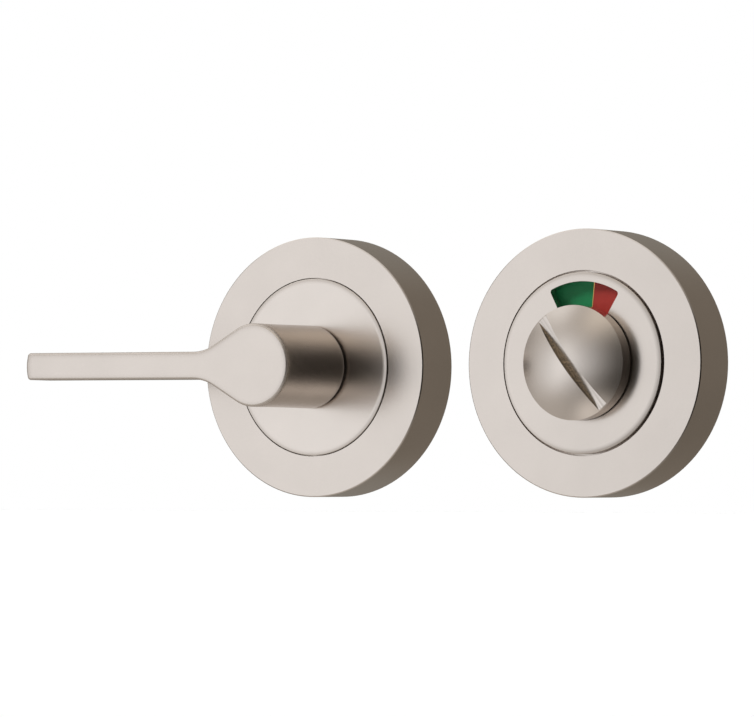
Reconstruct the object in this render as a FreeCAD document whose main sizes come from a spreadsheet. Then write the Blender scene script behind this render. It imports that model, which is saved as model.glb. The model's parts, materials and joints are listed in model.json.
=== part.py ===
import FreeCAD, Part
import math
import os

import Sketcher
from FreeCAD import Vector

os.makedirs("parts", exist_ok=True)

# Bathroom turn and release set. Millimetres, Z up. The front faces -Y and the door face is the plane
# Y = 0. The origin is the axis of the turn half on the door face, and the release half stands beside
# it along +X. Inside each piece's own sketches, local x is X, local y is Z and local z is the height
# above the door face, so every round piece is turned about its local z axis.

# Driving dimensions: name, value, meaning
SIZES = [
    ("rose_diameter", "52", "outside of both roses"),
    ("halves_gap", "10.5", "between the two roses, side by side"),
    ("rose_height", "10.8", "front of both roses above the door face"),
    ("cover_side_wall", "1.6", "side wall of the cover ring"),
    ("cover_front_wall", "2.2", "front wall of the cover ring"),
    ("cover_edge", "0.2", "bevel on the cover ring's front outer edge"),
    ("cover_corner_share", "0.19", "bevel inside the cover ring's corner, of the room beside the shoulder"),
    ("cover_door_gap", "0.1", "cover ring's rear edge above the door face"),
    ("turn_disc_diameter", "35.36", "centre disc of the turn half"),
    ("turn_disc_rise", "0.25", "front of that disc above the cover ring"),
    ("turn_ring_gap", "0.2", "radial gap between disc and cover ring, turn half"),
    ("release_disc_diameter", "35.16", "centre disc of the release half"),
    ("release_disc_rise", "0.5", "front of that disc above the cover ring"),
    ("release_ring_gap", "0.4", "radial gap between disc and cover ring, release half"),
    ("disc_crown_width", "1.0", "border of each disc that falls away to its edge"),
    ("disc_crown_drop", "0.12", "fall of that border"),
    ("disc_edge", "0.15", "rounding of the disc's edge"),
    ("shoulder_share", "0.36", "shoulder that the cover ring traps, of the room beyond the disc"),
    ("shoulder_thickness", "1.5", "thickness of that shoulder"),
    ("skirt_wall", "1.8", "wall of the inner rose's skirt"),
    ("turn_front_wall", "2.65", "front wall of the turn's inner rose"),
    ("boss_wall", "3.0", "wall of the bearing boss around its bush"),
    ("bearing_length", "4.05", "length of the turn's bearing from the disc face"),
    ("rib_count", "6", "ribs between boss and skirt"),
    ("rib_width", "1.2", "width of a rib"),
    ("rib_depth", "1.2", "depth of a rib under the front wall"),
    ("plate_thickness", "2.5", "base of the mounting plate"),
    ("plate_rim_height", "5.0", "top of the threaded rim above the door face"),
    ("plate_rim_share", "0.34", "wall of the threaded rim, of the room beyond the skirt"),
    ("plate_bore_diameter", "26", "centre hole of the mounting plate"),
    ("thread_clearance", "0.1", "rim to cover ring"),
    ("thread_lead", "0.4", "lead-in bevel of the thread"),
    ("screw_spacing", "38", "between the two fixing holes, one above the other"),
    ("screw_hole_diameter", "4.5", "fixing hole"),
    ("screw_head_diameter", "7.8", "countersink for the fixing screw's head"),
    ("countersink_angle", "90", "full angle of the countersink"),
    ("screw_head_room", "0.6", "space round a screw head in the skirt"),
    ("scallop_height", "3.0", "height of that space above the plate"),
    ("peg_diameter", "1.7", "locating pegs under the skirt"),
    ("peg_length", "1.6", "locating pegs"),
    ("peg_clearance", "0.1", "radial clearance of a peg in the plate"),
    ("journal_diameter", "12", "turned journal of the lever and of the release"),
    ("running_clearance", "0.05", "radial, journal in bush"),
    ("bush_wall", "0.95", "wall of the bush"),
    ("close_fit", "0.02", "clearance where a piece is fitted in or on another"),
    ("bush_lip", "0.6", "turn bush's flange beyond its seat"),
    ("bush_flange", "0.67", "thickness of the turn bush's flange"),
    ("release_bush_lip", "1.4", "release bush's flange beyond its seat"),
    ("release_bush_flange", "0.37", "thickness of the release bush's flange"),
    ("hub_gap", "0.75", "shadow gap between disc face and hub"),
    ("knob_gap", "0.5", "shadow gap between disc face and release knob"),
    ("seat_gap", "0.05", "axial play between flat faces that turn on each other"),
    ("washer_diameter", "20", "thrust washer"),
    ("washer_thickness", "0.6", "thrust washer"),
    ("washer_clearance", "0.1", "radial, washer and spring on the journal"),
    ("spring_height", "1.0", "wave spring, crest to trough as fitted"),
    ("spring_gauge", "0.35", "strip of the wave spring"),
    ("spring_waves", "3", "waves round the spring"),
    ("spring_diameter", "18.4", "outside of the wave spring"),
    ("clip_thickness", "1.0", "circlip"),
    ("clip_play", "0.05", "circlip in its groove, each side"),
    ("groove_depth", "0.25", "circlip groove in the journal"),
    ("clip_back_width", "1.8", "circlip opposite its opening"),
    ("clip_front_width", "1.1", "circlip beside its opening"),
    ("clip_opening", "46", "full angle of the circlip's opening"),
    ("clip_lug_radius", "1.6", "circlip lugs"),
    ("clip_lug_flat", "0.06", "flat on each lug beside the opening"),
    ("clip_eye_diameter", "1.5", "plier holes in the lugs"),
    ("journal_tail", "3.45", "journal behind the turn's circlip groove"),
    ("lever_reach", "21.5", "front of the lever above the rose face"),
    ("hub_front_diameter", "16.4", "hub at its front"),
    ("hub_base_diameter", "16.6", "hub at its base, wider by the casting draft"),
    ("hub_base_edge", "0.45", "rounding of the hub's base"),
    ("arm_length", "55.55", "axis of the hub to the tip of the arm"),
    ("arm_width", "5.45", "height of the arm"),
    ("arm_thickness", "8.0", "arm from front to back"),
    ("flank_angle", "29.5", "flank of the teardrop to the arm"),
    ("blend_radius", "10", "hollow blend from flank to arm"),
    ("tip_radius", "9", "crown of the arm's end"),
    ("tip_corner", "0.7", "rounding of the arm's end corners"),
    ("front_edge", "0.45", "rounding of the lever's front edge"),
    ("rear_edge", "1.0", "rounding of the arm's rear edges"),
    ("spindle_width", "5.0", "square spindle across its flats"),
    ("socket_width", "5.1", "square sockets for the spindle"),
    ("follower_angle", "45", "spindle flats to the horizontal with the lever level"),
    ("socket_depth", "13.4", "spindle socket in the lever"),
    ("spindle_end_gap", "0.3", "spindle short of its socket's floor"),
    ("spindle_projection", "34", "spindle behind the door face"),
    ("spindle_edge", "0.5", "bevel on the spindle's ends"),
    ("pin_diameter", "2.0", "rolled cross pin"),
    ("pin_wall", "0.4", "strip of the cross pin"),
    ("pin_slit", "0.35", "slit along the cross pin"),
    ("pin_short", "0.5", "pin shorter than the journal is wide"),
    ("knob_diameter", "22.2", "coin release knob"),
    ("knob_rim", "2.9", "straight side of the knob"),
    ("knob_dome", "2.4", "height of the dome above the side"),
    ("coin_slot_width", "2.1", "coin slot"),
    ("coin_slot_floor", "0.1", "floor of the coin slot above the knob's side"),
    ("drive_width", "9.0", "square drive across its flats"),
    ("drive_clearance", "0.1", "indicator disc on the drive, across flats"),
    ("drive_projection", "8", "drive behind the door face"),
    ("drive_socket_depth", "17", "spindle socket in the drive"),
    ("window_wall", "1.95", "front wall of the release's inner rose"),
    ("window_outer", "15.8", "outer radius of the indicator window"),
    ("window_inner", "10", "inner radius of the indicator window"),
    ("window_angle", "58.6", "full angle of the indicator window"),
    ("window_turn", "2.4", "middle of the window, clockwise from upright"),
    ("window_corner", "0.6", "rounding of the window's corners"),
    ("indicator_diameter", "32.4", "indicator disc"),
    ("indicator_clearance", "0.4", "radial, indicator disc in the skirt"),
    ("indicator_thickness", "0.8", "indicator disc"),
    ("indicator_gap", "0.25", "indicator disc under the front wall"),
    ("enamel_depth", "0.2", "recess for the enamel"),
    ("enamel_low", "0.03", "enamel below the brass"),
    ("enamel_inner", "9.5", "inner radius of the enamel"),
    ("enamel_rim", "0.15", "brass rim outside the enamel"),
    ("enamel_angle", "86", "full angle of each colour"),
    ("line_angle", "0.5", "brass line between the colours"),
    ("line_place", "46.1", "brass line from the horizontal, coin slot upright"),
    ("release_rest_turn", "38", "release turned to the left of upright, as found"),
    ("turn_rest_turn", "0.4", "lever turned clockwise from level, as found"),
]

# Heights and radii that follow from the driving dimensions
LEVELS = [
    ("rose_radius", "sizes.rose_diameter / 2"),
    ("axis_spacing", "sizes.rose_diameter + sizes.halves_gap"),
    ("turn_face", "sizes.rose_height + sizes.turn_disc_rise"),
    ("release_face", "sizes.rose_height + sizes.release_disc_rise"),
    ("cover_wall_radius", "rose_radius - sizes.cover_side_wall"),
    ("plate_radius", "cover_wall_radius - sizes.thread_clearance"),
    ("shoulder_top", "sizes.rose_height - sizes.cover_front_wall"),
    ("shoulder_rear", "shoulder_top - sizes.shoulder_thickness"),
    ("turn_disc_radius", "sizes.turn_disc_diameter / 2"),
    ("release_disc_radius", "sizes.release_disc_diameter / 2"),
    ("turn_shoulder_room", "cover_wall_radius - turn_disc_radius"),
    ("release_shoulder_room", "cover_wall_radius - release_disc_radius"),
    ("turn_shoulder_radius", "turn_disc_radius + sizes.shoulder_share * turn_shoulder_room"),
    ("release_shoulder_radius", "release_disc_radius + sizes.shoulder_share * release_shoulder_room"),
    ("turn_inner_corner", "sizes.cover_corner_share * (cover_wall_radius - turn_shoulder_radius)"),
    ("release_inner_corner", "sizes.cover_corner_share * (cover_wall_radius - release_shoulder_radius)"),
    ("indicator_radius", "sizes.indicator_diameter / 2"),
    ("cavity_radius", "indicator_radius + sizes.indicator_clearance"),
    ("skirt_radius", "cavity_radius + sizes.skirt_wall"),
    ("rim_radius", "plate_radius - sizes.plate_rim_share * (plate_radius - skirt_radius)"),
    ("peg_place", "cavity_radius + sizes.skirt_wall / 2"),
    ("peg_radius", "sizes.peg_diameter / 2"),
    ("journal_radius", "sizes.journal_diameter / 2"),
    ("bush_bore", "journal_radius + sizes.running_clearance"),
    ("bush_seat", "bush_bore + sizes.bush_wall"),
    ("boss_radius", "bush_seat + sizes.boss_wall"),
    ("turn_wall_rear", "turn_face - sizes.turn_front_wall"),
    ("release_wall_rear", "release_face - sizes.window_wall"),
    ("turn_bearing_rear", "turn_face - sizes.bearing_length"),
    ("release_bearing_rear", "release_wall_rear"),
    ("indicator_front", "release_wall_rear - sizes.indicator_gap"),
    ("indicator_rear", "indicator_front - sizes.indicator_thickness"),
    ("hub_base", "turn_face + sizes.hub_gap"),
    ("hub_front", "sizes.rose_height + sizes.lever_reach"),
    ("hub_front_radius", "sizes.hub_front_diameter / 2"),
    ("hub_base_radius", "sizes.hub_base_diameter / 2"),
    ("arm_rear", "hub_front - sizes.arm_thickness"),
    ("stem_top", "arm_rear + 2 * sizes.rear_edge"),
    ("groove_radius", "journal_radius - sizes.groove_depth"),
    ("knob_radius", "sizes.knob_diameter / 2"),
    ("knob_base", "release_face + sizes.knob_gap"),
    ("knob_rim_top", "knob_base + sizes.knob_rim"),
    ("knob_top", "knob_rim_top + sizes.knob_dome"),
    ("enamel_outer", "indicator_radius - sizes.enamel_rim"),
    ("washer_bore", "journal_radius + sizes.washer_clearance"),
]

# The same stack sits behind both bearings: thrust washer, wave spring and circlip
STACK_SEATS = {"turn": "turn_bearing_rear", "release": "indicator_rear"}
for stack_half, stack_seat in STACK_SEATS.items():
    LEVELS += [
        (f"{stack_half}_washer_front", f"{stack_seat} - sizes.seat_gap"),
        (f"{stack_half}_washer_rear", f"{stack_half}_washer_front - sizes.washer_thickness"),
        (f"{stack_half}_spring_rear", f"{stack_half}_washer_rear - sizes.spring_height"),
        (f"{stack_half}_clip_rear", f"{stack_half}_spring_rear - sizes.clip_thickness"),
        (f"{stack_half}_groove_front", f"{stack_half}_spring_rear + sizes.clip_play"),
        (f"{stack_half}_groove_rear", f"{stack_half}_clip_rear - sizes.clip_play"),
    ]
LEVELS += [
    ("journal_end", "turn_groove_rear - sizes.journal_tail"),
    ("pin_place", "journal_end + sizes.journal_tail / 2"),
    ("drive_end", "0 - sizes.drive_projection"),
]

AXIS_TO_FRONT = "rotation(vector(1; 0; 0); 90)"
TURN_TURN = "rotation(vector(0; 0; 1); 0 - sizes.turn_rest_turn)"
RELEASE_TURN = "rotation(vector(0; 0; 1); sizes.release_rest_turn)"
PLACES = {
    "turn": f"placement(vector(0; 0; 0); {AXIS_TO_FRONT})",
    "turn_turned": f"placement(vector(0; 0; 0); {AXIS_TO_FRONT} * {TURN_TURN})",
    "release": f"placement(vector(levels.axis_spacing; 0; 0); {AXIS_TO_FRONT})",
    "release_turned": f"placement(vector(levels.axis_spacing; 0; 0); {AXIS_TO_FRONT} * {RELEASE_TURN})",
}
CUT_MARGIN = 1.0

doc = FreeCAD.newDocument("bathroom_turn_and_release")
sizes = doc.addObject("Spreadsheet::Sheet", "sizes")
levels = doc.addObject("Spreadsheet::Sheet", "levels")
nodes = []


def fill_sheets():
    """Write the driving dimensions and the levels that follow from them."""
    for row, (alias, number, meaning) in enumerate(SIZES, start=1):
        sizes.set(f"A{row}", meaning)
        sizes.set(f"B{row}", number)
        sizes.setAlias(f"B{row}", alias)
    for row, (alias, formula) in enumerate(LEVELS, start=1):
        levels.set(f"A{row}", alias.replace("_", " "))
        levels.setAlias(f"B{row}", alias)
        levels.set(f"B{row}", f"={formula}")
    doc.recompute()


def size(expression):
    """Present value of an expression in the two sheets."""
    return float(levels.evalExpression(expression))


def new_body(label, place):
    """Empty body for one piece, in the place of its half."""
    body = doc.addObject("PartDesign::Body", label)
    body.Label = label
    body.setExpression("Placement", PLACES[place])
    nodes.append(body)
    return body


def sketch_on(body, name, role, offset):
    """Sketch on one of the body's own origin planes, moved by an offset."""
    sketch = body.newObject("Sketcher::SketchObject", f"{body.Label}_{name}")
    plane = [item for item in body.Origin.OriginFeatures if item.Role == role][0]
    sketch.AttachmentSupport = [(plane, "")]
    sketch.MapMode = "FlatFace"
    sketch.setExpression("AttachmentOffset", offset)
    return sketch


def front_sketch(body, name, height, turn="0"):
    """Sketch seen from the front, at a height above the door face."""
    offset = f"placement(vector(0; 0; {height}); rotation(vector(0; 0; 1); {turn}))"
    return sketch_on(body, name, "XY_Plane", offset)


def section_sketch(body, name, turn="0"):
    """Sketch of a section through the axis: radius across, height up."""
    offset = f"placement(vector(0; 0; 0); rotation(vector(0; 1; 0); {turn}))"
    return sketch_on(body, name, "XZ_Plane", offset)


def measure(sketch, kind, geometry, expression):
    """Driving constraint whose value follows an expression."""
    index = sketch.addConstraint(Sketcher.Constraint(kind, *geometry, size(expression)))
    sketch.setExpression(f"Constraints[{index}]", expression)


def place_point(sketch, item, point, across, up):
    """Tie a sketch point to its distances from the origin."""
    for value, kind, axis in ((across, "DistanceX", -2), (up, "DistanceY", -1)):
        if value == "0":
            sketch.addConstraint(Sketcher.Constraint("PointOnObject", item, point, axis))
        else:
            measure(sketch, kind, (-1, 1, item, point), value)


def crown_arc(start, end):
    """Arc that rises from its start and is level at its end."""
    run, drop = start.x - end.x, end.y - start.y
    radius = (run ** 2 + drop ** 2) / (2 * drop)
    crown = Part.Circle(Vector(end.x, end.y - radius, 0), Vector(0, 0, 1), radius)
    return Part.ArcOfCircle(crown, math.atan2(radius - drop, run), math.pi / 2)


def outline(sketch, corners, crowned=False):
    """Closed outline through corners given as pairs of expressions, its last side straight or crowned."""
    points = [Vector(size(across), size(up), 0) for across, up in corners]
    first = sketch.GeometryCount
    for start, end in zip(points, points[1:]):
        sketch.addGeometry(Part.LineSegment(start, end), False)
    closing = crown_arc if crowned else Part.LineSegment
    last = sketch.addGeometry(closing(points[-1], points[0]), False)
    for side in range(first, last):
        sketch.addConstraint(Sketcher.Constraint("Coincident", side, 2, side + 1, 1))
    join = "Tangent" if crowned else "Coincident"
    sketch.addConstraint(Sketcher.Constraint(join, last, 2, first, 1))
    for index, (across, up) in enumerate(corners):
        place_point(sketch, first + index, 1, across, up)


def rectangle(sketch, low_across, high_across, low_up, high_up):
    outline(sketch, [
        (low_across, low_up),
        (high_across, low_up),
        (high_across, high_up),
        (low_across, high_up),
    ])


def square(sketch, width):
    """Square on the axis, by its width across the flats."""
    rectangle(sketch, f"0 - {width} / 2", f"{width} / 2", f"0 - {width} / 2", f"{width} / 2")


def circle(sketch, radius, across="0", up="0"):
    centre = Vector(size(across), size(up), 0)
    item = sketch.addGeometry(Part.Circle(centre, Vector(0, 0, 1), size(radius)), False)
    measure(sketch, "Radius", (item,), radius)
    place_point(sketch, item, 3, across, up)


def volume_of(body):
    """Volume so far, zero before the first feature."""
    return 0.0 if body.Shape.isNull() else body.Shape.Volume


def built(feature, body, before, adds):
    """Recompute and make sure that the feature did what it is for."""
    doc.recompute()
    change = volume_of(body) - before
    if change == 0 or (change > 0) != adds:
        status = feature.getStatusString()
        raise RuntimeError(f"{feature.Name} changed the volume by {change}: {status}")
    return feature


def revolve(body, sketch, adds=True, angle="360"):
    """Turn a section about the axis, all round or over a sector centred on the section."""
    before = volume_of(body)
    kind = "PartDesign::Revolution" if adds else "PartDesign::Groove"
    feature = body.newObject(kind, f"{sketch.Name}_turned")
    feature.Profile = sketch
    feature.ReferenceAxis = (sketch, ["V_Axis"])
    feature.Midplane = angle != "360"
    feature.setExpression("Angle", angle)
    return built(feature, body, before, adds)


def extrude(body, sketch, length, adds=True, upward=True, both_ways=False):
    """Pad or pocket, up from the sketch, down from it, or centred on it."""
    before = volume_of(body)
    kind = "PartDesign::Pad" if adds else "PartDesign::Pocket"
    feature = body.newObject(kind, f"{sketch.Name}_run")
    feature.Profile = sketch
    feature.Type = "Length"
    feature.setExpression("Length", length)
    feature.Reversed = upward != adds
    if both_ways:
        feature.SideType = "Symmetric"
    return built(feature, body, before, adds)


def edges_where(body, test):
    """Names of the edges of a body whose ends and middle pass a test, in the body's own axes."""
    shape = body.Tip.Shape
    names = []
    for index, edge in enumerate(shape.Edges, start=1):
        middle = edge.valueAt((edge.FirstParameter + edge.LastParameter) / 2)
        ends = [vertex.Point for vertex in edge.Vertexes]
        if test(edge, middle, ends):
            names.append(f"Edge{index}")
    return names


def round_edges(body, name, test, radius, kind="Fillet"):
    """Fillet or chamfer of the edges that pass a test."""
    names = edges_where(body, test)
    if not names:
        raise RuntimeError(f"{body.Label} {name}: no edge found")
    base = body.Tip
    feature = body.newObject(f"PartDesign::{kind}", f"{body.Label}_{name}")
    feature.Base = (base, names)
    feature.setExpression("Radius" if kind == "Fillet" else "Size", radius)
    doc.recompute()
    if not feature.isValid():
        raise RuntimeError(f"{feature.Name} on {names}: {feature.getStatusString()}")


def near(first, second, within=0.01):
    """Whether two lengths are the same."""
    return abs(first - second) < within


def mounting_plate(half):
    """Cast plate: flat base, threaded rim, two countersunk screw holes and two peg holes."""
    body = new_body(f"{half}_mounting_plate", half)
    section = section_sketch(body, "section")
    outline(section, [
        ("sizes.plate_bore_diameter / 2", "0"),
        ("levels.plate_radius", "0"),
        ("levels.plate_radius", "sizes.plate_rim_height - sizes.thread_lead"),
        ("levels.plate_radius - sizes.thread_lead", "sizes.plate_rim_height"),
        ("levels.rim_radius", "sizes.plate_rim_height"),
        ("levels.rim_radius", "sizes.plate_thickness"),
        ("sizes.plate_bore_diameter / 2", "sizes.plate_thickness"),
    ])
    revolve(body, section)

    centres = front_sketch(body, "screw_centres", "sizes.plate_thickness")
    for side in ("sizes.screw_spacing / 2", "0 - sizes.screw_spacing / 2"):
        circle(centres, "sizes.screw_hole_diameter / 2", "0", side)
    doc.recompute()
    before = volume_of(body)
    holes = body.newObject("PartDesign::Hole", f"{half}_screw_holes")
    holes.Profile = centres
    doc.recompute()
    holes.ThreadType = "None"
    holes.DepthType = "ThroughAll"
    holes.HoleCutType = "Countersink"
    holes.HoleCutCustomValues = True
    holes.setExpression("Diameter", "sizes.screw_hole_diameter")
    holes.setExpression("HoleCutDiameter", "sizes.screw_head_diameter")
    holes.setExpression("HoleCutCountersinkAngle", "sizes.countersink_angle")
    built(holes, body, before, adds=False)

    pegs = front_sketch(body, "peg_holes", "sizes.plate_thickness")
    for side in ("levels.peg_place", "0 - levels.peg_place"):
        circle(pegs, "levels.peg_radius + sizes.peg_clearance", side, "0")
    extrude(body, pegs, "sizes.plate_thickness", adds=False, upward=False)


def inner_rose_section(half, bore_rear):
    """Half section of an inner rose, from its bore round the skirt to the disc face."""
    disc = f"levels.{half}_disc_radius"
    face = f"levels.{half}_face"
    boss = [("levels.boss_radius", bore_rear), ("levels.boss_radius", "levels.turn_wall_rear")]
    return [
        (f"{disc} - sizes.disc_crown_width", face),
        ("levels.bush_seat", face),
        ("levels.bush_seat", bore_rear),
        *(boss if half == "turn" else []),
        ("levels.cavity_radius", f"levels.{half}_wall_rear"),
        ("levels.cavity_radius", "sizes.plate_thickness"),
        ("levels.skirt_radius", "sizes.plate_thickness"),
        ("levels.skirt_radius", "levels.shoulder_rear"),
        (f"levels.{half}_shoulder_radius", "levels.shoulder_rear"),
        (f"levels.{half}_shoulder_radius", "levels.shoulder_top"),
        (disc, "levels.shoulder_top"),
        (disc, f"{face} - sizes.disc_crown_drop"),
    ]


def inner_rose(half):
    """Centre disc with the shoulder that the cover ring traps, a skirt and locating pegs."""
    body = new_body(f"{half}_inner_rose", half)
    section = section_sketch(body, "section")
    outline(section, inner_rose_section(half, f"levels.{half}_bearing_rear"), crowned=True)
    revolve(body, section)

    disc = size(f"levels.{half}_disc_radius")
    edge_height = size(f"levels.{half}_face - sizes.disc_crown_drop")

    def disc_edge(edge, middle, ends):
        return near(math.hypot(middle.x, middle.y), disc) and near(middle.z, edge_height)

    round_edges(body, "disc_edge", disc_edge, "sizes.disc_edge")

    scallops = front_sketch(body, "screw_head_room", "sizes.plate_thickness")
    for side in ("sizes.screw_spacing / 2", "0 - sizes.screw_spacing / 2"):
        circle(scallops, "sizes.screw_head_diameter / 2 + sizes.screw_head_room", "0", side)
    extrude(body, scallops, "sizes.scallop_height", adds=False)

    pegs = front_sketch(body, "pegs", "sizes.plate_thickness")
    for side in ("levels.peg_place", "0 - levels.peg_place"):
        circle(pegs, "levels.peg_radius", side, "0")
    extrude(body, pegs, "sizes.peg_length", upward=False)
    return body


def turn_inner_rose():
    """The turn's inner rose has ribs between its bearing boss and its skirt."""
    body = inner_rose("turn")
    rib = front_sketch(body, "rib", "levels.turn_wall_rear")
    inside = "levels.boss_radius - sizes.boss_wall / 2"
    outside = "levels.cavity_radius + sizes.skirt_wall / 2"
    rectangle(rib, inside, outside, "0 - sizes.rib_width / 2", "sizes.rib_width / 2")
    pad = extrude(body, rib, "sizes.rib_depth", upward=False)
    before = volume_of(body)
    ribs = body.newObject("PartDesign::PolarPattern", "turn_ribs")
    ribs.Originals = [pad]
    ribs.Axis = (rib, ["N_Axis"])
    ribs.Angle = 360
    ribs.setExpression("Occurrences", "sizes.rib_count")
    body.Tip = ribs
    built(ribs, body, before, adds=True)


def release_inner_rose():
    """The release's inner rose has the indicator window near twelve o'clock."""
    body = inner_rose("release")
    section = section_sketch(body, "window", "90 - sizes.window_turn")
    low = f"levels.release_wall_rear - {CUT_MARGIN}"
    high = f"levels.release_face + {CUT_MARGIN}"
    rectangle(section, "sizes.window_inner", "sizes.window_outer", low, high)
    revolve(body, section, adds=False, angle="sizes.window_angle")

    outer = size("sizes.window_outer")
    inner = size("sizes.window_inner")

    def window_corner(edge, middle, ends):
        radius = math.hypot(middle.x, middle.y)
        upright = len(ends) == 2 and near(ends[0].x, ends[1].x) and near(ends[0].y, ends[1].y)
        on_side = near(radius, outer) or near(radius, inner)
        return upright and on_side and middle.y > 0 and not near(middle.x, 0)

    round_edges(body, "window_corners", window_corner, "sizes.window_corner")


def cover_ring(half):
    """Outer shell with a flat front, screwed on the plate's rim over the shoulder."""
    body = new_body(f"{half}_cover_ring", half)
    bore = f"levels.{half}_disc_radius + sizes.{half}_ring_gap"
    section = section_sketch(body, "section")
    outline(section, [
        ("levels.cover_wall_radius + sizes.thread_lead", "sizes.cover_door_gap"),
        ("levels.rose_radius", "sizes.cover_door_gap"),
        ("levels.rose_radius", "sizes.rose_height - sizes.cover_edge"),
        ("levels.rose_radius - sizes.cover_edge", "sizes.rose_height"),
        (bore, "sizes.rose_height"),
        (bore, "levels.shoulder_top"),
        (f"levels.cover_wall_radius - levels.{half}_inner_corner", "levels.shoulder_top"),
        ("levels.cover_wall_radius", f"levels.shoulder_top - levels.{half}_inner_corner"),
        ("levels.cover_wall_radius", "sizes.cover_door_gap + sizes.thread_lead"),
    ])
    revolve(body, section)


def bush(half, lip, flange):
    """Flanged bush: its sleeve lines the bearing and its flange fills the shadow gap."""
    body = new_body(f"{half}_bush", half)
    section = section_sketch(body, "section")
    sleeve = "levels.bush_seat - sizes.close_fit"
    face = f"levels.{half}_face"
    outline(section, [
        ("levels.bush_bore", f"levels.{half}_bearing_rear + sizes.seat_gap"),
        (sleeve, f"levels.{half}_bearing_rear + sizes.seat_gap"),
        (sleeve, face),
        (f"levels.bush_seat + {lip}", face),
        (f"levels.bush_seat + {lip}", f"{face} + {flange}"),
        ("levels.bush_bore", f"{face} + {flange}"),
    ])
    revolve(body, section)


def thrust_washer(half, place):
    body = new_body(f"{half}_thrust_washer", place)
    section = section_sketch(body, "section")
    front = f"levels.{half}_washer_front"
    rear = f"levels.{half}_washer_rear"
    rectangle(section, "levels.washer_bore", "sizes.washer_diameter / 2", rear, front)
    revolve(body, section)


def wavy_circle(radius, height, swing, waves):
    """Closed curve on a cylinder, rising and falling a whole number of times."""
    points_per_wave = 12
    count = int(waves) * points_per_wave
    points = []
    for index in range(count):
        angle = 2 * math.pi * index / count
        rise = height + swing * math.cos(waves * angle)
        points.append(Vector(radius * math.cos(angle), radius * math.sin(angle), rise))
    curve = Part.BSplineCurve()
    curve.interpolate(Points=points, PeriodicFlag=True)
    return curve.toShape()


def wave_spring(half, place):
    """Flat strip bent into a wavy ring between the washer and the circlip."""
    gauge = size("sizes.spring_gauge")
    waves = size("sizes.spring_waves")
    rear = size(f"levels.{half}_spring_rear")
    height = size("sizes.spring_height") - 2 * size("sizes.close_fit")
    middle = rear + size("sizes.spring_height") / 2
    swing = (height - gauge) / 2
    radii = (size("levels.washer_bore"), size("sizes.spring_diameter / 2"))
    inner_low, outer_low = [wavy_circle(r, middle - gauge / 2, swing, waves) for r in radii]
    inner_high, outer_high = [wavy_circle(r, middle + gauge / 2, swing, waves) for r in radii]
    strips = [
        Part.makeRuledSurface(inner_low, outer_low),
        Part.makeRuledSurface(inner_high, outer_high),
        Part.makeRuledSurface(inner_low, inner_high),
        Part.makeRuledSurface(outer_low, outer_high),
    ]
    shell = Part.Shell(strips)
    shell.sewShape()
    solid = Part.Solid(shell)
    if solid.Volume < 0:
        solid.reverse()
    feature = doc.addObject("Part::Feature", f"{half}_wave_spring")
    feature.Label = f"{half}_wave_spring"
    feature.Shape = solid
    feature.setExpression("Placement", PLACES[place])
    nodes.append(feature)


def circlip(half, place):
    """Open retaining ring, widest at its back, with two lugs beside the opening."""
    body = new_body(f"{half}_circlip", place)
    rear = f"levels.{half}_clip_rear"
    bore = "levels.groove_radius + sizes.close_fit"
    widths = "(sizes.clip_back_width + sizes.clip_front_width) / 2"
    shift = "(sizes.clip_back_width - sizes.clip_front_width) / 2"
    ring = front_sketch(body, "ring", rear)
    circle(ring, f"{bore} + {widths}", "0", shift)
    circle(ring, bore)
    extrude(body, ring, "sizes.clip_thickness")

    lug_place = "(levels.groove_radius + sizes.clip_lug_radius)"
    lug_spread = f"asin((sizes.clip_lug_radius - sizes.clip_lug_flat) / {lug_place}) / 1deg"
    lug_turn = f"(sizes.clip_opening / 2 + {lug_spread})"
    lugs = front_sketch(body, "lugs", rear)
    eyes = front_sketch(body, "eyes", rear)
    for side in ("", "0 - "):
        across = f"{side}{lug_place} * sin({lug_turn})"
        up = f"0 - {lug_place} * cos({lug_turn})"
        circle(lugs, "sizes.clip_lug_radius", across, up)
        circle(eyes, "sizes.clip_eye_diameter / 2", across, up)
    extrude(body, lugs, "sizes.clip_thickness")

    mouth = front_sketch(body, "mouth", rear)
    depth = "sizes.washer_diameter / 2"
    reach = f"{depth} * tan(sizes.clip_opening / 2)"
    outline(mouth, [("0", "0"), (f"0 - {reach}", f"0 - {depth}"), (reach, f"0 - {depth}")])
    extrude(body, mouth, "sizes.clip_thickness", adds=False)
    extrude(body, eyes, "sizes.clip_thickness", adds=False)

    clear_bore = front_sketch(body, "bore", rear)
    circle(clear_bore, bore)
    extrude(body, clear_bore, "sizes.clip_thickness", adds=False)


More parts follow.
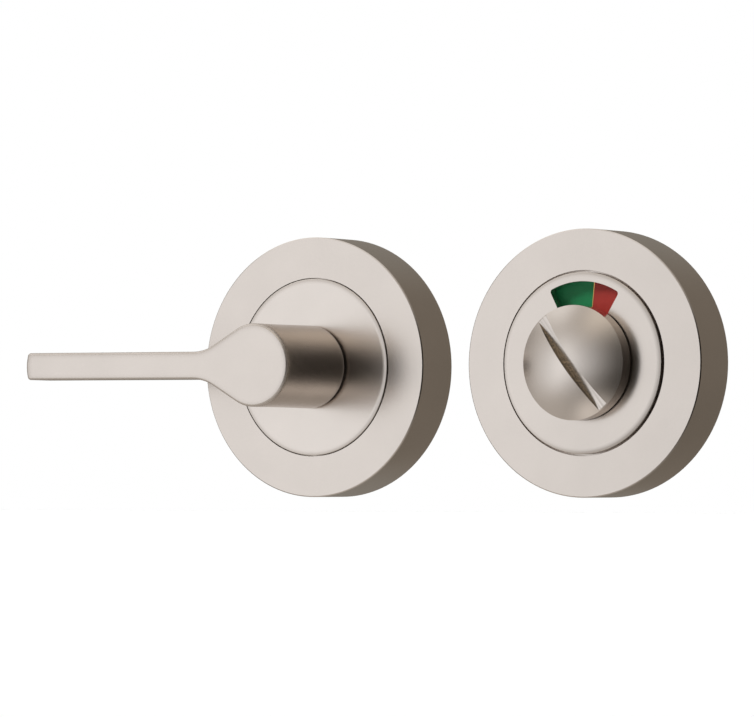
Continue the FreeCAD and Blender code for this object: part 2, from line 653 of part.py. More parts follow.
def teardrop(sketch):
    """Outline of the lever from the front: hub, flanks, hollow blends, arm and crowned tip."""
    hub = size("levels.hub_front_radius")
    flank = math.radians(size("sizes.flank_angle"))
    blend = size("sizes.blend_radius")
    half_width = size("sizes.arm_width / 2")
    tip = size("sizes.tip_radius")
    tip_centre = tip - size("sizes.arm_length")
    normal = Vector(-math.sin(flank), math.cos(flank), 0)
    along = Vector(-math.cos(flank), -math.sin(flank), 0)
    flank_start = normal * hub
    run = (flank_start.y + blend * normal.y - half_width - blend) / math.sin(flank)
    flank_end = flank_start + along * run
    blend_centre = flank_end + normal * blend
    arm_start = Vector(blend_centre.x, half_width, 0)
    tip_half_angle = math.asin(half_width / tip)
    tip_corner = Vector(tip_centre - tip * math.cos(tip_half_angle), half_width, 0)

    def below(point):
        return Vector(point.x, -point.y, 0)

    def arc(centre, radius, start, end):
        return Part.ArcOfCircle(Part.Circle(centre, Vector(0, 0, 1), radius), start, end)

    quarter = math.pi / 2
    sketch.addGeometry([
        arc(Vector(0, 0, 0), hub, -quarter - flank, quarter + flank),
        Part.LineSegment(flank_start, flank_end),
        arc(blend_centre, blend, 3 * quarter, 3 * quarter + flank),
        Part.LineSegment(arm_start, tip_corner),
        arc(Vector(tip_centre, 0, 0), tip, math.pi - tip_half_angle, math.pi + tip_half_angle),
        Part.LineSegment(below(tip_corner), below(arm_start)),
        arc(below(blend_centre), blend, quarter - flank, quarter),
        Part.LineSegment(below(flank_end), below(flank_start)),
    ], False)
    hub_arc, top_flank, top_blend, top_edge, tip_arc, low_edge, low_blend, low_flank = range(8)
    joints = [
        ("Tangent", hub_arc, 2, top_flank, 1),
        ("Tangent", top_flank, 2, top_blend, 2),
        ("Tangent", top_blend, 1, top_edge, 1),
        ("Coincident", top_edge, 2, tip_arc, 1),
        ("Coincident", tip_arc, 2, low_edge, 1),
        ("Tangent", low_edge, 2, low_blend, 2),
        ("Tangent", low_blend, 1, low_flank, 1),
        ("Tangent", low_flank, 2, hub_arc, 1),
        ("Coincident", hub_arc, 3, -1, 1),
        ("PointOnObject", tip_arc, 3, -1),
        ("Horizontal", top_edge),
        ("Horizontal", low_edge),
    ]
    for joint in joints:
        sketch.addConstraint(Sketcher.Constraint(*joint))
    measure(sketch, "Radius", (hub_arc,), "levels.hub_front_radius")
    measure(sketch, "Radius", (top_blend,), "sizes.blend_radius")
    measure(sketch, "Radius", (low_blend,), "sizes.blend_radius")
    measure(sketch, "Radius", (tip_arc,), "sizes.tip_radius")
    measure(sketch, "DistanceX", (-1, 1, tip_arc, 3), "sizes.tip_radius - sizes.arm_length")
    measure(sketch, "DistanceY", (-1, 1, top_edge, 2), "sizes.arm_width / 2")
    measure(sketch, "DistanceY", (-1, 1, low_edge, 1), "0 - sizes.arm_width / 2")
    # The flanks are fixed by where they leave the hub
    start = "levels.hub_front_radius * sin(sizes.flank_angle)"
    measure(sketch, "DistanceX", (-1, 1, top_flank, 1), f"0 - {start}")
    measure(sketch, "DistanceX", (-1, 1, low_flank, 2), f"0 - {start}")


def lever_turn():
    """Hub, teardrop head, arm and journal in one casting, with the spindle's socket."""
    body = new_body("lever_turn", "turn_turned")
    head = front_sketch(body, "head", "levels.arm_rear")
    teardrop(head)
    extrude(body, head, "sizes.arm_thickness")

    rear = size("levels.arm_rear")
    front = size("levels.hub_front")
    tip = size("sizes.tip_corner - sizes.arm_length")

    def tip_corner(edge, middle, ends):
        return len(ends) == 2 and not near(ends[0].z, ends[1].z) and middle.x < tip

    def head_rear(edge, middle, ends):
        return near(middle.z, rear)

    def head_front(edge, middle, ends):
        return near(middle.z, front)

    round_edges(body, "tip_corners", tip_corner, "sizes.tip_corner")
    round_edges(body, "rear_edges", head_rear, "sizes.rear_edge")
    round_edges(body, "front_edges", head_front, "sizes.front_edge")

    stem = section_sketch(body, "stem")
    outline(stem, [
        ("0", "levels.journal_end"),
        ("levels.journal_radius - sizes.groove_depth", "levels.journal_end"),
        ("levels.journal_radius", "levels.journal_end + sizes.groove_depth"),
        ("levels.journal_radius", "levels.turn_groove_rear"),
        ("levels.groove_radius", "levels.turn_groove_rear"),
        ("levels.groove_radius", "levels.turn_groove_front"),
        ("levels.journal_radius", "levels.turn_groove_front"),
        ("levels.journal_radius", "levels.hub_base"),
        ("levels.hub_base_radius", "levels.hub_base"),
        ("levels.hub_front_radius", "levels.arm_rear"),
        ("levels.hub_front_radius", "levels.stem_top"),
        ("0", "levels.stem_top"),
    ])
    revolve(body, stem)

    base = size("levels.hub_base")
    base_radius = size("levels.hub_base_radius")

    def hub_base_edge(edge, middle, ends):
        return near(middle.z, base) and near(math.hypot(middle.x, middle.y), base_radius)

    round_edges(body, "hub_base_edge", hub_base_edge, "sizes.hub_base_edge")

    socket = front_sketch(body, "socket", "levels.journal_end", "sizes.follower_angle")
    square(socket, "sizes.socket_width")
    extrude(body, socket, "sizes.socket_depth", adds=False)

    pin_hole = section_sketch(body, "pin_hole", "sizes.follower_angle")
    circle(pin_hole, "sizes.pin_diameter / 2 + sizes.close_fit", "0", "levels.pin_place")
    extrude(body, pin_hole, "sizes.hub_base_diameter", adds=False, both_ways=True)


def spindle():
    """Square bar from the floor of the lever's socket to behind the door face."""
    body = new_body("spindle", "turn_turned")
    front = "(levels.journal_end + sizes.socket_depth - sizes.spindle_end_gap)"
    section = front_sketch(body, "section", "0 - sizes.spindle_projection", "sizes.follower_angle")
    square(section, "sizes.spindle_width")
    extrude(body, section, f"{front} + sizes.spindle_projection")

    ends_at = (size(front), size("0 - sizes.spindle_projection"))

    def end_edge(edge, middle, ends):
        flat = near(ends[0].z, ends[-1].z)
        return flat and (near(middle.z, ends_at[0]) or near(middle.z, ends_at[1]))

    round_edges(body, "ends", end_edge, "sizes.spindle_edge", kind="Chamfer")

    pin_hole = section_sketch(body, "pin_hole", "sizes.follower_angle")
    circle(pin_hole, "sizes.pin_diameter / 2 + sizes.close_fit", "0", "levels.pin_place")
    extrude(body, pin_hole, "sizes.hub_base_diameter", adds=False, both_ways=True)


def spindle_pin():
    """Rolled strip pin with a slit along its length."""
    body = new_body("spindle_pin", "turn_turned")
    ring = section_sketch(body, "ring", "sizes.follower_angle")
    circle(ring, "sizes.pin_diameter / 2", "0", "levels.pin_place")
    circle(ring, "sizes.pin_diameter / 2 - sizes.pin_wall", "0", "levels.pin_place")
    extrude(body, ring, "sizes.journal_diameter - sizes.pin_short", both_ways=True)

    slit = section_sketch(body, "slit", "sizes.follower_angle")
    half_slit = "sizes.pin_slit / 2"
    top = "levels.pin_place + sizes.pin_diameter"
    rectangle(slit, f"0 - {half_slit}", half_slit, "levels.pin_place", top)
    extrude(body, slit, "sizes.journal_diameter", adds=False, both_ways=True)


def knob_section(sketch):
    """Half section of the coin release: dome, side, journal and the round of the drive."""
    steps = [
        ("0", "levels.drive_end"),
        ("levels.groove_radius", "levels.drive_end"),
        ("levels.journal_radius", "levels.drive_end + sizes.groove_depth"),
        ("levels.journal_radius", "levels.release_groove_rear"),
        ("levels.groove_radius", "levels.release_groove_rear"),
        ("levels.groove_radius", "levels.release_groove_front"),
        ("levels.journal_radius", "levels.release_groove_front"),
        ("levels.journal_radius", "levels.knob_base"),
        ("levels.knob_radius", "levels.knob_base"),
        ("levels.knob_radius", "levels.knob_rim_top"),
    ]
    points = [Vector(size(across), size(up), 0) for across, up in steps]
    top = Vector(0, size("levels.knob_top"), 0)
    radius = size("(levels.knob_radius ^ 2 + sizes.knob_dome ^ 2) / (2 * sizes.knob_dome)")
    centre = Vector(0, top.y - radius, 0)
    rim_angle = math.atan2(points[-1].y - centre.y, points[-1].x)
    last = len(points) - 1
    for index in range(last):
        sketch.addGeometry(Part.LineSegment(points[index], points[index + 1]), False)
    dome_circle = Part.Circle(centre, Vector(0, 0, 1), radius)
    dome = sketch.addGeometry(Part.ArcOfCircle(dome_circle, rim_angle, math.pi / 2), False)
    axis = sketch.addGeometry(Part.LineSegment(top, points[0]), False)
    for index in range(last - 1):
        sketch.addConstraint(Sketcher.Constraint("Coincident", index, 2, index + 1, 1))
    sketch.addConstraint(Sketcher.Constraint("Coincident", last - 1, 2, dome, 1))
    sketch.addConstraint(Sketcher.Constraint("Coincident", dome, 2, axis, 1))
    sketch.addConstraint(Sketcher.Constraint("Coincident", axis, 2, 0, 1))
    for index, (across, up) in enumerate(steps[:-1]):
        place_point(sketch, index, 1, across, up)
    place_point(sketch, last - 1, 2, *steps[-1])
    place_point(sketch, dome, 2, "0", "levels.knob_top")
    sketch.addConstraint(Sketcher.Constraint("PointOnObject", dome, 3, -2))


def coin_release():
    """Domed knob with a coin slot, a journal and a square drive with the spindle's socket."""
    body = new_body("coin_release", "release_turned")
    section = section_sketch(body, "section")
    knob_section(section)
    revolve(body, section)

    flats = front_sketch(body, "flats", "levels.indicator_front", "sizes.follower_angle")
    circle(flats, "sizes.journal_diameter")
    square(flats, "sizes.drive_width")
    extrude(body, flats, "levels.indicator_front - levels.drive_end", adds=False, upward=False)

    slot = front_sketch(body, "slot", "levels.knob_rim_top + sizes.coin_slot_floor")
    half_slot = "sizes.coin_slot_width / 2"
    rectangle(slot, f"0 - {half_slot}", half_slot, "0 - sizes.knob_diameter", "sizes.knob_diameter")
    extrude(body, slot, "sizes.knob_dome", adds=False)

    socket = front_sketch(body, "socket", "levels.drive_end", "sizes.follower_angle")
    square(socket, "sizes.socket_width")
    extrude(body, socket, "sizes.drive_socket_depth", adds=False)


def colour_centre(side):
    """Middle of a colour's sector, to the left (1) or right (-1) of the brass line."""
    return f"sizes.line_place + {side} * (sizes.enamel_angle + sizes.line_angle) / 2"


COLOURS = {"green": 1, "red": -1}


def indicator_disc():
    """Brass disc on the square drive, with a recess for each colour."""
    body = new_body("indicator_disc", "release_turned")
    blank = front_sketch(body, "blank", "levels.indicator_rear")
    circle(blank, "levels.indicator_radius")
    extrude(body, blank, "sizes.indicator_thickness")

    hole = front_sketch(body, "square_hole", "levels.indicator_rear", "sizes.follower_angle")
    square(hole, "(sizes.drive_width + sizes.drive_clearance)")
    extrude(body, hole, "sizes.indicator_thickness", adds=False)

    floor = "levels.indicator_front - sizes.enamel_depth"
    above = f"levels.indicator_front + {CUT_MARGIN}"
    for colour, side in COLOURS.items():
        recess = section_sketch(body, f"{colour}_recess", colour_centre(side))
        rectangle(recess, "sizes.enamel_inner", "levels.enamel_outer", floor, above)
        revolve(body, recess, adds=False, angle="sizes.enamel_angle")


def indicator_colour(colour):
    """Enamel that fills its recess to just below the brass."""
    body = new_body(f"indicator_{colour}", "release_turned")
    section = section_sketch(body, "section", colour_centre(COLOURS[colour]))
    inner = "sizes.enamel_inner + sizes.close_fit"
    outer = "levels.enamel_outer - sizes.close_fit"
    floor = "levels.indicator_front - sizes.enamel_depth"
    surface = "levels.indicator_front - sizes.enamel_low"
    rectangle(section, inner, outer, floor, surface)
    revolve(body, section, angle="sizes.enamel_angle")


def check_all():
    """Stop if any object failed or any piece is not one sound solid."""
    for item in doc.Objects:
        if "Invalid" in item.State or "Error" in item.State:
            raise RuntimeError(f"{item.Label} is in state {item.State}")
    for node in nodes:
        shape = node.Shape
        if shape.isNull() or not shape.isValid() or len(shape.Solids) != 1:
            raise RuntimeError(f"{node.Label} is not one sound solid")


fill_sheets()
mounting_plate("turn")
turn_inner_rose()
cover_ring("turn")
bush("turn", "sizes.bush_lip", "sizes.bush_flange")
lever_turn()
thrust_washer("turn", "turn_turned")
wave_spring("turn", "turn_turned")
circlip("turn", "turn_turned")
spindle()
spindle_pin()
mounting_plate("release")
release_inner_rose()
cover_ring("release")
bush("release", "sizes.release_bush_lip", "sizes.release_bush_flange")
coin_release()
indicator_disc()
indicator_colour("green")
indicator_colour("red")
thrust_washer("release", "release_turned")
wave_spring("release", "release_turned")
circlip("release", "release_turned")
doc.recompute()
check_all()
for node in nodes:
    node.Shape.exportStep(f"parts/{node.Label}.step")
    print(node.Label, round(node.Shape.Volume, 3))
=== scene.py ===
import json
import math

import bpy
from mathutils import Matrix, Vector

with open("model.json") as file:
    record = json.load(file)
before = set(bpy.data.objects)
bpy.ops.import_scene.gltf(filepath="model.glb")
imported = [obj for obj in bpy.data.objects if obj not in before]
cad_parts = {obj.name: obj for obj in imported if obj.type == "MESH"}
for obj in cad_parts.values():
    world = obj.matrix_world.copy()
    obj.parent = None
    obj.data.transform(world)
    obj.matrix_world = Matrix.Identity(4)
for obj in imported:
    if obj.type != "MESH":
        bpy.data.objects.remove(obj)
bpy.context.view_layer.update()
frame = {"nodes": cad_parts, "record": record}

# Looks of the bathroom turn and release set: the finishes of its pieces, a pale floor, a light tent,
# two lamps and the camera. Metres, Z up, the set's front faces -Y.

scene = bpy.context.scene
scene.view_settings.view_transform = "Standard"

FRONT = Vector((0, -1, 0))
BACK = Vector((0, 1, 0))

# Camera, from the rims of both roses in the photograph
CAMERA_AZIMUTH = 32.786
CAMERA_ELEVATION = -1.444
CAMERA_DISTANCE = 0.95128
CAMERA_TARGET = Vector((0.008269, 0.0, 0.001842))
CAMERA_CLIP_END = 50.0
FOCAL_PIXELS = 4729.78
PHOTO_WIDTH = 754
SENSOR_WIDTH = 36.0

# Floor and backdrop. The camera and reflections meet white, and the world lights less than that
WHITE = (1, 1, 1, 1)
WORLD_LIGHT = 0.3
WORLD_SEEN = 1.0
FLOOR_LEVEL = -0.08
FLOOR_SIZE = 12.0
FLOOR_PAPER = (0.86, 0.86, 0.85, 1)
FLOOR_LIFT = 0.15

# Sun lamps, for the dull pieces and the floor, which don't mirror the tent. Degrees
LAMPS = (
    {"name": "key_lamp", "azimuth": -58, "elevation": 28, "spread": 19, "strength": 3.3},
    {"name": "rear_lamp", "azimuth": 150, "elevation": 35, "spread": 40, "strength": 1.2},
)

# Light of the tent's walls, and of the panels on them, each over those before it. Degrees, and
# linear colours. The first goes all the way round overhead, and the camera looks in through the
# dark one.
TENT_RADIUS = 2.0
TENT_OFF_FLOOR = 0.0005
TENT_COLUMNS = 120
TENT_ROWS = 60
TENT_WALL = (0.51, 0.475, 0.43)
TENT_PANELS = (
    {"azimuth": 0, "elevation": 90, "width": 800, "height": 72, "edge": 30, "edge_up": 26,
     "light": (0.90, 0.88, 0.85)},
    {"azimuth": -103, "elevation": 0, "width": 90, "height": 180, "edge": 34, "edge_up": 60,
     "light": (0.27, 0.25, 0.23)},
    {"azimuth": 4, "elevation": 38, "width": 62, "height": 52, "edge": 24, "edge_up": 20,
     "light": (0.98, 0.89, 0.77)},
    {"azimuth": -25, "elevation": -1, "width": 110, "height": 60, "edge": 44, "edge_up": 28,
     "light": (0.90, 0.90, 0.90)},
    {"azimuth": -31.5, "elevation": 0, "width": 38, "height": 56, "edge": 19, "edge_up": 28,
     "light": (1.13, 1.13, 1.13)},
    {"azimuth": 210, "elevation": 0, "width": 110, "height": 180, "edge": 30, "edge_up": 40,
     "light": (0.25, 0.23, 0.20)},
    {"azimuth": -86, "elevation": 48, "width": 120, "height": 60, "edge": 24, "edge_up": 20,
     "light": (1.04, 1.02, 0.99)},
    {"azimuth": 130, "elevation": 0, "width": 130, "height": 180, "edge": 30, "edge_up": 30,
     "light": (0.198, 0.172, 0.141)},
    {"azimuth": 58, "elevation": 0, "width": 182, "height": 106, "edge": 66, "edge_up": 40,
     "light": (0.006, 0.004, 0.002)},
    {"azimuth": 20, "elevation": -36, "width": 44, "height": 32, "edge": 20, "edge_up": 14,
     "light": (0.95, 0.89, 0.82)},
)

# Buffing of the lever's edges: how far in from the edge, how much, and how much duller it is there
BUFFED_REACH = 0.0022
BUFFED_LEAN = 0.3
BUFFED_SAMPLES = 8
EDGE_ROUGHNESS = 0.4

# Coin slot, on the release's axis and as far from upright as its rest stands from its limit
release_pivot = next(joint for joint in frame["record"]["behaviour"]["joints"]
                     if joint["name"] == "release_pivot")
SLOT_AXIS = Vector(release_pivot["pos_m"])
SLOT_TURN = math.radians(-release_pivot["range_deg"][0])
SLOT_REACH = 0.0011
SLOT_MARK_STRETCH = 0.04

# Least cosine at which a surface counts as turned to a direction
SQUARE_ON = 0.7

# Colours, linear
NICKEL = (0.715, 0.66, 0.62)
# A lighter copy of the nickel, for the turn's disc
BRIGHT_NICKEL = (0.755, 0.70, 0.66)
# Dark brown painted on the coin slot's walls, as shade inside the slot
SLOT_WALL_SHADE = (0.27, 0.225, 0.165)
ZINC = (0.42, 0.425, 0.43)
NYLON = (0.012, 0.0105, 0.009)
SPRING_STEEL = (0.30, 0.30, 0.31)
PLATED_STEEL = (0.60, 0.61, 0.62)
BRASS = (0.72, 0.44, 0.16)
GREEN = (0.013, 0.205, 0.072)
RED = (0.365, 0.036, 0.028)

# Stretch of the fine lines in drawn metal, along X, Y and Z
EVEN = (1, 1, 1)
ALONG_Y = (1, 0.02, 1)


def toward(azimuth, elevation):
    """Unit vector from the set to an azimuth and elevation in degrees, azimuth 0 in front of it."""
    a = math.radians(azimuth)
    e = math.radians(elevation)
    return Vector((math.sin(a) * math.cos(e), -math.cos(a) * math.cos(e), math.sin(e)))


def smooth_step(value):
    value = min(max(value, 0.0), 1.0)
    return value * value * (3 - 2 * value)


class Nodes:
    """Short names for making and joining the nodes of one material or world."""

    def __init__(self, owner):
        owner.use_nodes = True
        self.tree = owner.node_tree
        self.tree.nodes.clear()

    def add(self, kind, inputs=None, **settings):
        """New node with its settings and inputs."""
        node = self.tree.nodes.new(kind)
        for name, value in settings.items():
            setattr(node, name, value)
        self.feed(node, inputs or {})
        return node

    def feed(self, node, inputs):
        """Link inputs of a node to other nodes' outputs, or set them to constants."""
        for name, value in inputs.items():
            if isinstance(value, bpy.types.NodeSocket):
                self.tree.links.new(value, node.inputs[name])
            else:
                node.inputs[name].default_value = value

    def math(self, operation, first, second=None):
        node = self.add("ShaderNodeMath", {0: first}, operation=operation)
        if second is not None:
            self.feed(node, {1: second})
        return node.outputs["Value"]

    def dot(self, vector, direction):
        """How far a vector reaches along a fixed direction."""
        node = self.add("ShaderNodeVectorMath", {0: vector, 1: direction}, operation="DOT_PRODUCT")
        return node.outputs["Value"]

    def mix(self, first, second, share, data_type="RGBA"):
        """Blend two colours, or two vectors, by a 0 to 1 value."""
        inputs = {"A": first, "B": second, "Factor": share}
        return self.add("ShaderNodeMix", inputs, data_type=data_type).outputs["Result"]

    def noise(self, vector, scale, detail, roughness=0.5):
        inputs = {"Vector": vector, "Scale": scale, "Detail": detail, "Roughness": roughness}
        return self.add("ShaderNodeTexNoise", inputs).outputs["Fac"]

    def spread(self, value, low, high):
        """Map a 0 to 1 value to a range."""
        inputs = {"Value": value, "To Min": low, "To Max": high}
        return self.add("ShaderNodeMapRange", inputs).outputs["Result"]

    def stretch(self, value, low, high):
        """Spread a range inside 0 to 1 over the whole of it."""
        inputs = {"Value": value, "From Min": low, "From Max": high}
        return self.add("ShaderNodeMapRange", inputs).outputs["Result"]

    def shade(self, value, color, low, high):
        """A colour made darker and lighter by a 0 to 1 value."""
        dark = (*[channel * low for channel in color], 1)
        light = (*[min(channel * high, 1) for channel in color], 1)
        return self.mix(dark, light, value)

    def facing(self):
        """Normals of the piece, which turn with it."""
        return self.add("ShaderNodeTexCoord").outputs["Normal"]

    def turned_to(self, direction):
        """1 where a surface is turned to a direction or away from it, 0 elsewhere."""
        share = self.math("ABSOLUTE", self.dot(self.facing(), direction))
        return self.math("GREATER_THAN", share, SQUARE_ON)

    def front_edges(self):
        """1 on an edge half turned from the front to a side, 0 on a front, a side or a back."""
        front = self.dot(self.facing(), FRONT)
        turned = self.math("MULTIPLY", front, self.math("SUBTRACT", 1, front))
        return self.stretch(turned, low=0.08, high=0.2)

    def buffed_edges(self):
        """Normals that lean a little over the nearest edge."""
        flat = self.add("ShaderNodeNewGeometry").outputs["Normal"]
        rounded = self.add("ShaderNodeBevel", {"Radius": BUFFED_REACH}, samples=BUFFED_SAMPLES)
        leaning = self.mix(flat, rounded.outputs["Normal"], BUFFED_LEAN, data_type="VECTOR")
        return self.add("ShaderNodeVectorMath", {0: leaning}, operation="NORMALIZE").outputs["Vector"]

    def bump(self, height, depth, normal=None):
        """Normals of a bumpy surface, over those given."""
        node = self.add("ShaderNodeBump", {"Height": height, "Distance": depth})
        if normal is not None:
            self.feed(node, {"Normal": normal})
        return node.outputs["Normal"]


def new_material(name, metallic=0.0):
    material = bpy.data.materials.new(name)
    nodes = Nodes(material)
    shader = nodes.add("ShaderNodeBsdfPrincipled", {"Metallic": metallic})
    nodes.add("ShaderNodeOutputMaterial", {"Surface": shader.outputs["BSDF"]})
    place = nodes.add("ShaderNodeTexCoord").outputs["Object"]
    return material, nodes, shader, place


def satin_nickel(name, color, buffed=False, slotted=False):
    """Blasted and plated, with a fine grain and soft reflections."""
    material, nodes, shader, place = new_material(name, metallic=1.0)
    patches = nodes.noise(place, scale=90, detail=3)
    grain = nodes.noise(place, scale=4200, detail=2, roughness=0.6)
    both = nodes.math("MULTIPLY", nodes.math("ADD", patches, grain), 0.5)
    finish = nodes.shade(nodes.stretch(both, low=0.3, high=0.7), color, low=0.96, high=1.04)
    if slotted:
        finish = milled_slot(nodes, place, finish, color)
    roughness = nodes.spread(grain, low=0.235, high=0.285)
    edges = None
    if buffed:
        duller = nodes.math("MULTIPLY", nodes.front_edges(), EDGE_ROUGHNESS)
        roughness = nodes.math("ADD", roughness, duller)
        edges = nodes.buffed_edges()
    nodes.feed(shader, {
        "Base Color": finish,
        "Roughness": roughness,
        "Normal": nodes.bump(grain, depth=0.000001, normal=edges),
    })
    return material


def milled_slot(nodes, place, finish, color):
    """The cutter's marks along the coin slot, on its pale floor and on its walls, whose dark brown is
    painted shade.
    """
    across = Vector((math.cos(SLOT_TURN), 0, math.sin(SLOT_TURN)))
    along = Vector((-math.sin(SLOT_TURN), 0, math.cos(SLOT_TURN)))
    from_axis = nodes.add("ShaderNodeVectorMath", {0: place, 1: SLOT_AXIS}, operation="SUBTRACT")
    beside = nodes.dot(from_axis.outputs["Vector"], across)
    within = nodes.math("LESS_THAN", nodes.math("ABSOLUTE", beside), SLOT_REACH)
    inside = nodes.math("MULTIPLY", within, nodes.math("SUBTRACT", 1, nodes.turned_to(along)))
    wall = nodes.math("MULTIPLY", inside, nodes.turned_to(across))

    mark_place = nodes.add("ShaderNodeCombineXYZ", {
        "X": beside,
        "Y": nodes.dot(place, BACK),
        "Z": nodes.dot(place, along * SLOT_MARK_STRETCH),
    })
    cuts = nodes.noise(mark_place.outputs["Vector"], scale=2600, detail=2, roughness=0.6)
    marks = nodes.stretch(cuts, low=0.38, high=0.62)
    chatter = nodes.stretch(nodes.noise(place, scale=3200, detail=1), low=0.35, high=0.6)
    floor_finish = nodes.shade(marks, color, low=0.84, high=1.04)
    # The walls are painted dark brown as shade in the slot, lighter along the cutter's marks
    wall_shade_and_marks = nodes.shade(nodes.math("MULTIPLY", marks, chatter), SLOT_WALL_SHADE, low=0.3, high=2.8)
    return nodes.mix(nodes.mix(finish, floor_finish, inside), wall_shade_and_marks, wall)


def zinc_casting():
    material, nodes, shader, place = new_material("zinc_casting_finish", metallic=0.6)
    clouds = nodes.noise(place, scale=260, detail=4, roughness=0.6)
    grain = nodes.noise(place, scale=3000, detail=3, roughness=0.6)
    nodes.feed(shader, {
        "Base Color": nodes.shade(clouds, ZINC, low=0.82, high=1.16),
        "Roughness": nodes.spread(clouds, low=0.42, high=0.6),
        "Normal": nodes.bump(grain, depth=0.00001),
    })
    return material


def nylon():
    material, nodes, shader, place = new_material("nylon_finish")
    grain = nodes.noise(place, scale=2500, detail=3)
    nodes.feed(shader, {
        "Base Color": nodes.shade(grain, NYLON, low=0.8, high=1.25),
        "Roughness": nodes.spread(grain, low=0.42, high=0.55),
        "Normal": nodes.bump(grain, depth=0.000012),
    })
    return material


def drawn_metal(name, color, roughness, stretch):
    """Metal with fine lines, drawn out along the axes that the stretch makes small."""
    material, nodes, shader, place = new_material(name, metallic=1.0)
    drawn = nodes.add("ShaderNodeMapping", {"Vector": place, "Scale": stretch}).outputs["Vector"]
    lines = nodes.noise(drawn, scale=2600, detail=3, roughness=0.7)
    nodes.feed(shader, {
        "Base Color": nodes.shade(lines, color, low=0.86, high=1.12),
        "Roughness": nodes.spread(lines, low=roughness * 0.8, high=roughness * 1.25),
        "Normal": nodes.bump(lines, depth=0.000008),
    })
    return material


def enamel(name, color):
    """Glossy fill that stands a little uneven in its recess."""
    material, nodes, shader, place = new_material(name)
    waves = nodes.noise(place, scale=900, detail=2)
    nodes.feed(shader, {
        "Base Color": nodes.shade(waves, color, low=0.94, high=1.06),
        "Roughness": nodes.spread(waves, low=0.42, high=0.5),
        "Specular IOR Level": 0.2,
        "Normal": nodes.bump(waves, depth=0.000015),
    })
    return material


FINISHES = {
    "satin_nickel": satin_nickel("satin_nickel_finish", NICKEL),
    "zinc_casting": zinc_casting(),
    "nylon": nylon(),
    "spring_steel": drawn_metal("spring_steel_finish", SPRING_STEEL, roughness=0.3, stretch=EVEN),
    "plated_steel": drawn_metal("plated_steel_finish", PLATED_STEEL, roughness=0.26, stretch=ALONG_Y),
    "brass": drawn_metal("brass_finish", BRASS, roughness=0.3, stretch=EVEN),
    "green_enamel": enamel("green_enamel_finish", GREEN),
    "red_enamel": enamel("red_enamel_finish", RED),
}

# Pieces with a material of their own, in place of their slot's: the lever with buffed edges, the
# turn's disc in a lighter copy of the nickel, and the release with its slot
OWN_FINISHES = {
    "lever_turn": satin_nickel("lever_finish", NICKEL, buffed=True),
    "turn_inner_rose": satin_nickel("turn_disc_lighter_nickel", BRIGHT_NICKEL),
    "coin_release": satin_nickel("coin_release_finish", NICKEL, slotted=True),
}

for subpart in frame["record"]["subparts"]:
    node = frame["nodes"][subpart["node"]]
    node.data.materials.clear()
    node.data.materials.append(OWN_FINISHES.get(subpart["node"]) or FINISHES[subpart["material_slot"]])


def cover(place, middle, size, edge):
    """1 well inside a panel, 0 outside it and a soft step over its edge, in degrees."""
    away = abs((place - middle + 180) % 360 - 180)
    return smooth_step((size / 2 - away) / edge)


def tent_light(azimuth, elevation):
    """Colour of the tent toward an azimuth and elevation."""
    light = Vector(TENT_WALL)
    for panel in TENT_PANELS:
        across = cover(azimuth, panel["azimuth"], panel["width"], panel["edge"])
        up = cover(elevation, panel["elevation"], panel["height"], panel["edge_up"])
        light = light.lerp(Vector(panel["light"]), across * up)
    return light


def tent_points():
    """Points of the tent, row by row upward, and their colours. Low ones stop at the floor."""
    verts = []
    lights = []
    for row in range(TENT_ROWS + 1):
        elevation = 180 * row / TENT_ROWS - 90
        for column in range(TENT_COLUMNS):
            azimuth = 360 * column / TENT_COLUMNS
            direction = toward(azimuth, elevation)
            reach = TENT_RADIUS
            if direction.z * TENT_RADIUS < FLOOR_LEVEL + TENT_OFF_FLOOR:
                reach = (FLOOR_LEVEL + TENT_OFF_FLOOR) / direction.z
            verts.append(direction * reach)
            lights.extend((*tent_light(azimuth, elevation), 1))
    return verts, lights


def tent_faces():
    faces = []
    for row in range(TENT_ROWS):
        for column in range(TENT_COLUMNS):
            beside = (column + 1) % TENT_COLUMNS
            below = row * TENT_COLUMNS
            above = below + TENT_COLUMNS
            faces.append((below + column, below + beside, above + beside, above + column))
    return faces


def make_tent():
    """Walls of the light tent, seen only in reflections."""
    verts, lights = tent_points()
    mesh = bpy.data.meshes.new("light_tent")
    mesh.from_pydata(verts, [], tent_faces())
    layer = mesh.color_attributes.new("light", "FLOAT_COLOR", "POINT")
    layer.data.foreach_set("color", lights)
    tent = bpy.data.objects.new("light_tent", mesh)
    scene.collection.objects.link(tent)
    tent.visible_camera = False
    tent.visible_diffuse = False
    tent.visible_shadow = False

    material = bpy.data.materials.new("light_tent")
    nodes = Nodes(material)
    light = nodes.add("ShaderNodeAttribute", attribute_name="light").outputs["Color"]
    glow = nodes.add("ShaderNodeEmission", {"Color": light})
    nodes.add("ShaderNodeOutputMaterial", {"Surface": glow.outputs["Emission"]})
    mesh.materials.append(material)


def background_seen(nodes):
    """1 where the camera, a reflection or a view through glass meets the background."""
    path = nodes.add("ShaderNodeLightPath")
    seen = nodes.math("MAXIMUM", path.outputs["Is Camera Ray"], path.outputs["Is Glossy Ray"])
    return nodes.math("MAXIMUM", seen, path.outputs["Is Transmission Ray"])


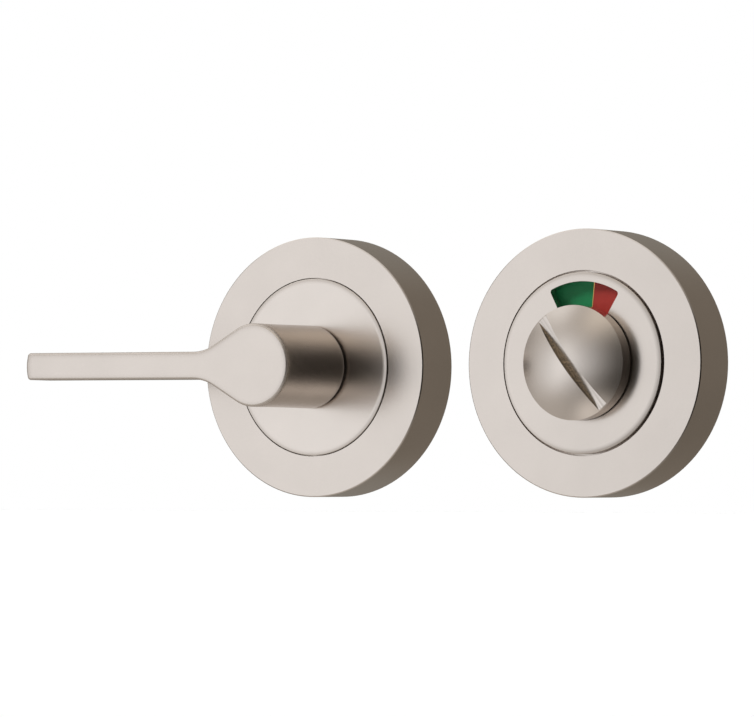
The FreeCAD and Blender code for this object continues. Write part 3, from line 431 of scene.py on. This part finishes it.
def make_world():
    world = bpy.data.worlds.new("white_studio")
    nodes = Nodes(world)
    scene.world = world
    strength = nodes.spread(background_seen(nodes), low=WORLD_LIGHT, high=WORLD_SEEN)
    background = nodes.add("ShaderNodeBackground", {"Color": WHITE, "Strength": strength})
    nodes.add("ShaderNodeOutputWorld", {"Surface": background.outputs["Background"]})


def make_floor():
    """White paper that keeps the set's shadow."""
    half = FLOOR_SIZE / 2
    corners = [(-half, -half), (half, -half), (half, half), (-half, half)]
    mesh = bpy.data.meshes.new("floor")
    mesh.from_pydata([(x, y, FLOOR_LEVEL) for x, y in corners], [], [(0, 1, 2, 3)])
    floor = bpy.data.objects.new("floor", mesh)
    scene.collection.objects.link(floor)

    material = bpy.data.materials.new("floor_paper")
    nodes = Nodes(material)
    paper = nodes.add("ShaderNodeBsdfDiffuse", {"Color": FLOOR_PAPER})
    strength = nodes.spread(background_seen(nodes), low=0.0, high=FLOOR_LIFT)
    lift = nodes.add("ShaderNodeEmission", {"Color": WHITE, "Strength": strength})
    both = nodes.add("ShaderNodeAddShader", {0: paper.outputs["BSDF"], 1: lift.outputs["Emission"]})
    nodes.add("ShaderNodeOutputMaterial", {"Surface": both.outputs["Shader"]})
    mesh.materials.append(material)


def make_lamp(name, azimuth, elevation, spread, strength):
    lamp = bpy.data.lights.new(name, "SUN")
    lamp.angle = math.radians(spread)
    lamp.energy = strength
    holder = bpy.data.objects.new(name, lamp)
    holder.rotation_euler = toward(azimuth, elevation).to_track_quat("Z", "Y").to_euler()
    holder.visible_camera = False
    holder.visible_glossy = False
    scene.collection.objects.link(holder)


def make_camera():
    data = bpy.data.cameras.new("photo_camera")
    data.sensor_width = SENSOR_WIDTH
    data.lens = FOCAL_PIXELS * SENSOR_WIDTH / PHOTO_WIDTH
    data.clip_end = CAMERA_CLIP_END
    camera = bpy.data.objects.new("photo_camera", data)
    back = toward(CAMERA_AZIMUTH, CAMERA_ELEVATION)
    camera.location = CAMERA_TARGET + back * CAMERA_DISTANCE
    camera.rotation_euler = back.to_track_quat("Z", "Y").to_euler()
    scene.collection.objects.link(camera)
    scene.camera = camera


make_world()
make_floor()
make_camera()
make_tent()
for lamp in LAMPS:
    make_lamp(**lamp)
